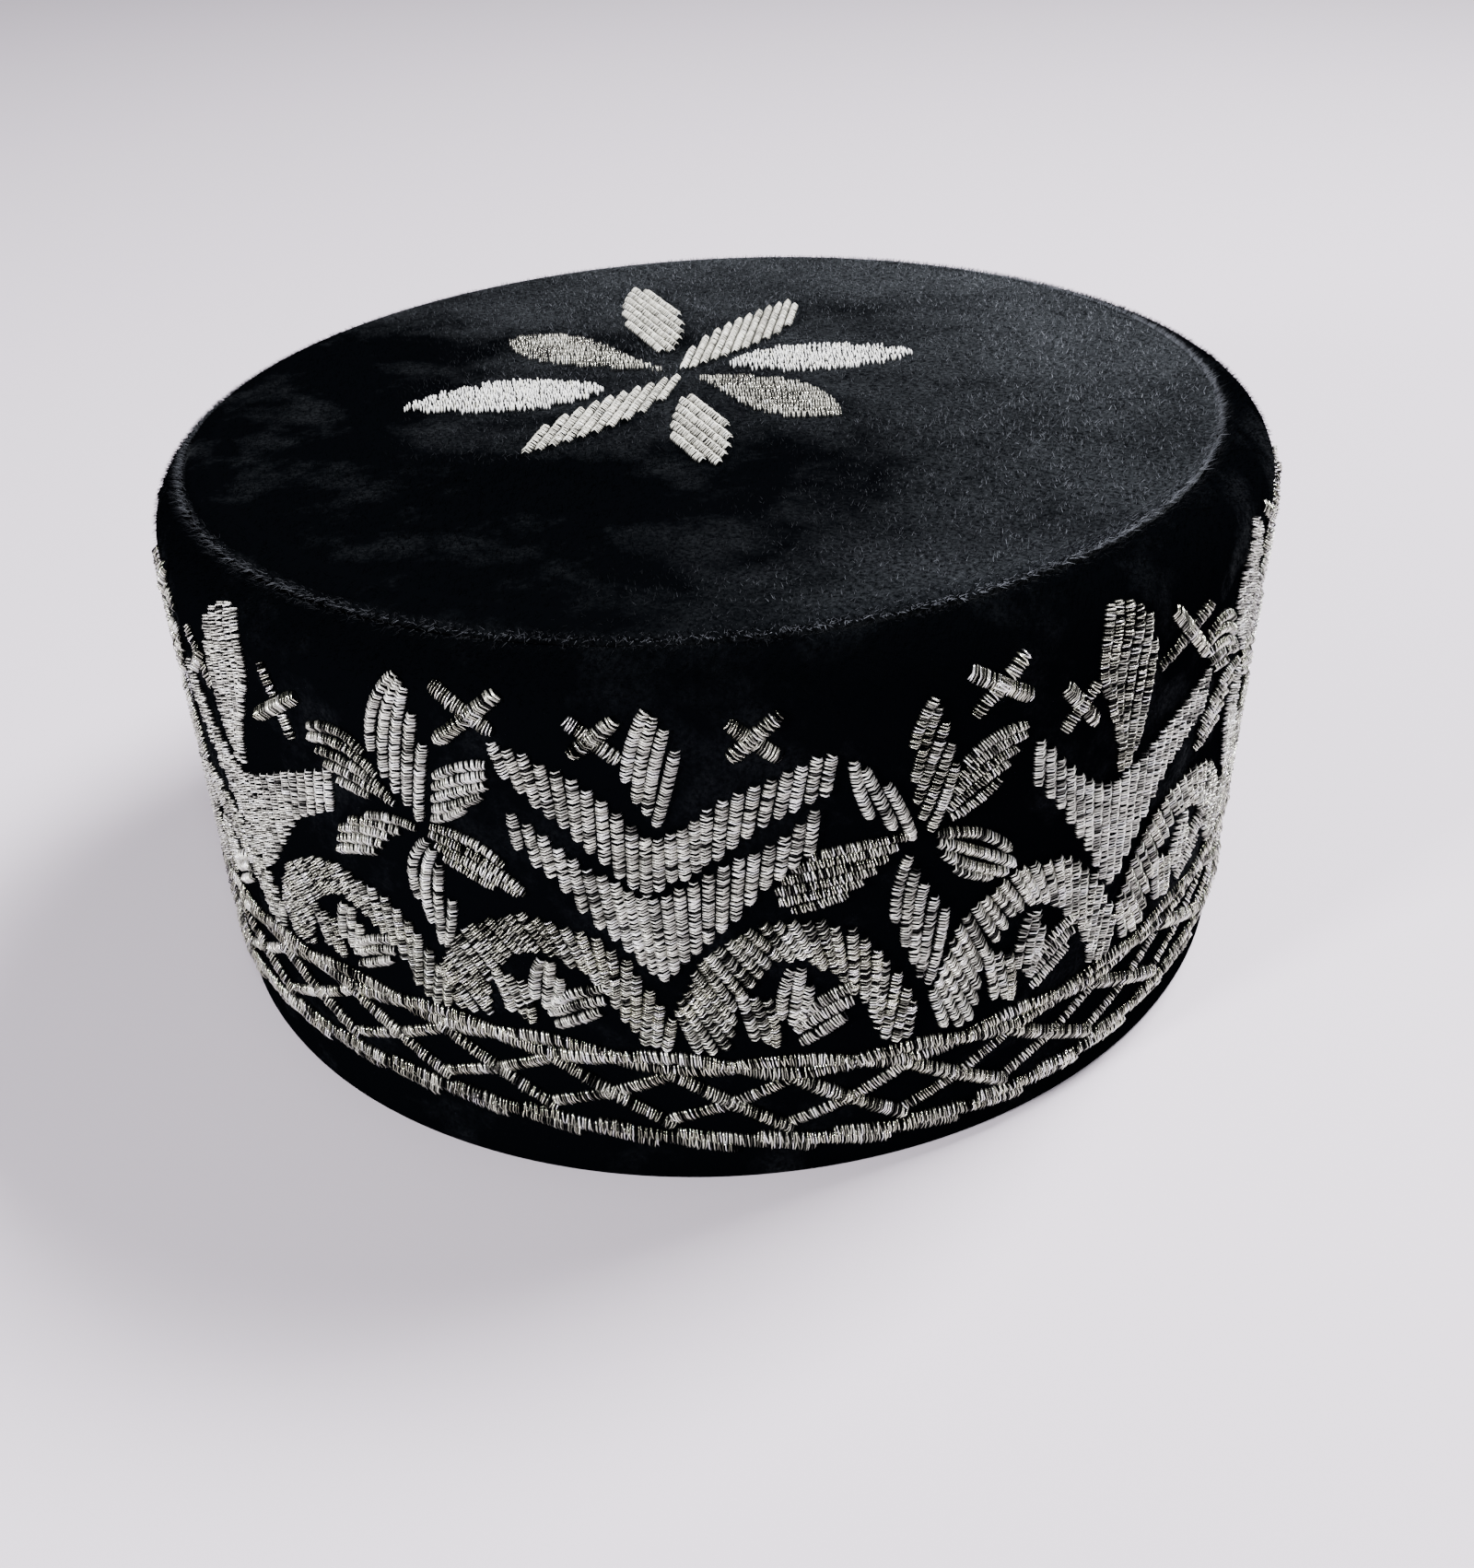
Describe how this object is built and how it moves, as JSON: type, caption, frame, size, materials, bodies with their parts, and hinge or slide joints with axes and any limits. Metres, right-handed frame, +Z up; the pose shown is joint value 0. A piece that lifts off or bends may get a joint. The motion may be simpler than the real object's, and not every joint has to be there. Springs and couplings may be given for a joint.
{
  "type": "embroidered velvet pillbox cap",
  "caption": "Stiffened oval velvet cap with a flat crown, a straight side band and raised metallic thread motifs round the band and on top.",
  "frame": {"origin": "middle of the cap's footprint, on the surface that its rim rests on", "axes": "+Z up through the crown, -Y to the wearer's front, +Y to the back along the oval's long axis"},
  "size_m": [0.1818, 0.1892, 0.0938],
  "materials": {
    "velvet": "black short-pile velvet",
    "silver_thread": "satin-stitched silver metallic thread",
    "ivory_thread": "satin-stitched ivory and silver thread"
  },
  "bodies": {
    "root": {"broad_chevron_1": "silver_thread", "broad_chevron_2": "silver_thread", "broad_chevron_3": "silver_thread", "broad_chevron_4": "silver_thread", "bud_leaf_1": "silver_thread", "bud_leaf_2": "silver_thread", "bud_leaf_3": "silver_thread", "bud_leaf_4": "silver_thread", "crown_top": "velvet", "left_flower_1": "silver_thread", "left_flower_2": "silver_thread", "left_flower_3": "silver_thread", "left_flower_4": "silver_thread", "lower_border": "silver_thread", "lower_chevron_1": "silver_thread", "lower_chevron_2": "silver_thread", "lower_chevron_3": "silver_thread", "lower_chevron_4": "silver_thread", "right_flower_1": "silver_thread", "right_flower_2": "silver_thread", "right_flower_3": "silver_thread", "right_flower_4": "silver_thread", "scroll_01": "silver_thread", "scroll_02": "silver_thread", "scroll_03": "silver_thread", "scroll_04": "silver_thread", "scroll_05": "silver_thread", "scroll_06": "silver_thread", "scroll_07": "silver_thread", "scroll_08": "silver_thread", "scroll_09": "silver_thread", "scroll_10": "silver_thread", "scroll_11": "silver_thread", "scroll_12": "silver_thread", "scroll_13": "silver_thread", "scroll_14": "silver_thread", "scroll_15": "silver_thread", "scroll_16": "silver_thread", "side_band": "velvet", "star_petal_east": "ivory_thread", "star_petal_north": "ivory_thread", "star_petal_north_east": "ivory_thread", "star_petal_north_west": "ivory_thread", "star_petal_south": "ivory_thread", "star_petal_south_east": "ivory_thread", "star_petal_south_west": "ivory_thread", "star_petal_west": "ivory_thread", "tall_leaf_1": "silver_thread", "tall_leaf_2": "silver_thread", "tall_leaf_3": "silver_thread", "tall_leaf_4": "silver_thread", "upper_border": "silver_thread", "upper_chevron_1": "silver_thread", "upper_chevron_2": "silver_thread", "upper_chevron_3": "silver_thread", "upper_chevron_4": "silver_thread"}
  },
  "joints": []
}
